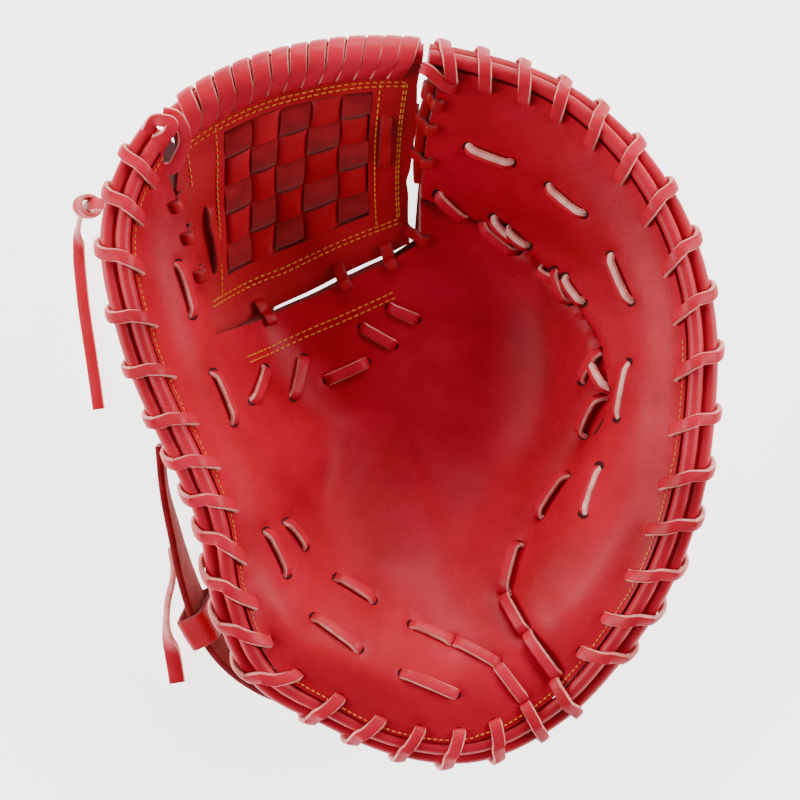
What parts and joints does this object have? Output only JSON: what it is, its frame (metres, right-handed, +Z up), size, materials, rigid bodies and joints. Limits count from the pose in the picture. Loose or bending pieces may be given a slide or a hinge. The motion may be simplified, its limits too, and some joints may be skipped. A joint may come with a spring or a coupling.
{
  "type": "first baseman mitt",
  "caption": "Wide, deep leather mitt with a laced rim, a woven web between thumb and fingers, and a strapped, open wrist.",
  "frame": {"origin": "bottom centre of the bounding box of everything but the loose laces: the mitt lies palm up and its back rests on z = 0", "axes": "+Y from the heel to the finger tips, +X from the thumb to the fingers, +Z up out of the pocket"},
  "size_m": [0.2848, 0.3162, 0.1271],
  "materials": {
    "red_leather": "semi-gloss oiled cowhide",
    "web_leather": "semi-gloss oiled cowhide, deeper red",
    "lace_leather": "satin rawhide lace",
    "rough_strips": "matt flesh side of the hide"
  },
  "bodies": {
    "root": {"palm_shell": "red_leather", "thumb_back": "red_leather", "finger_back": "red_leather", "palm_welt": "red_leather", "back_welt": "red_leather", "wrist_strap": "red_leather", "strap_keeper": "red_leather", "rim_lace_thumb": "lace_leather", "rim_lace_heel": "lace_leather", "rim_lace_fingers": "lace_leather", "rim_lace_tips": "lace_leather", "web_lace_finger_side": "lace_leather", "web_lace_thumb_side": "lace_leather", "web_lace_crotch": "lace_leather", "split_lace": "lace_leather", "web_wrap": "lace_leather", "thumb_lace_tail": "lace_leather", "thumb_knot": "lace_leather", "adjuster_tail": "lace_leather", "web_frame": "web_leather", "web_binding": "web_leather", "web_slat_1": "web_leather", "web_strip_1": "rough_strips", "web_slat_2": "web_leather", "web_strip_2": "rough_strips", "web_slat_3": "web_leather", "web_strip_3": "rough_strips", "web_slat_4": "web_leather", "web_strip_4": "rough_strips", "web_slat_5": "web_leather", "web_strip_5": "rough_strips"}
  },
  "joints": []
}
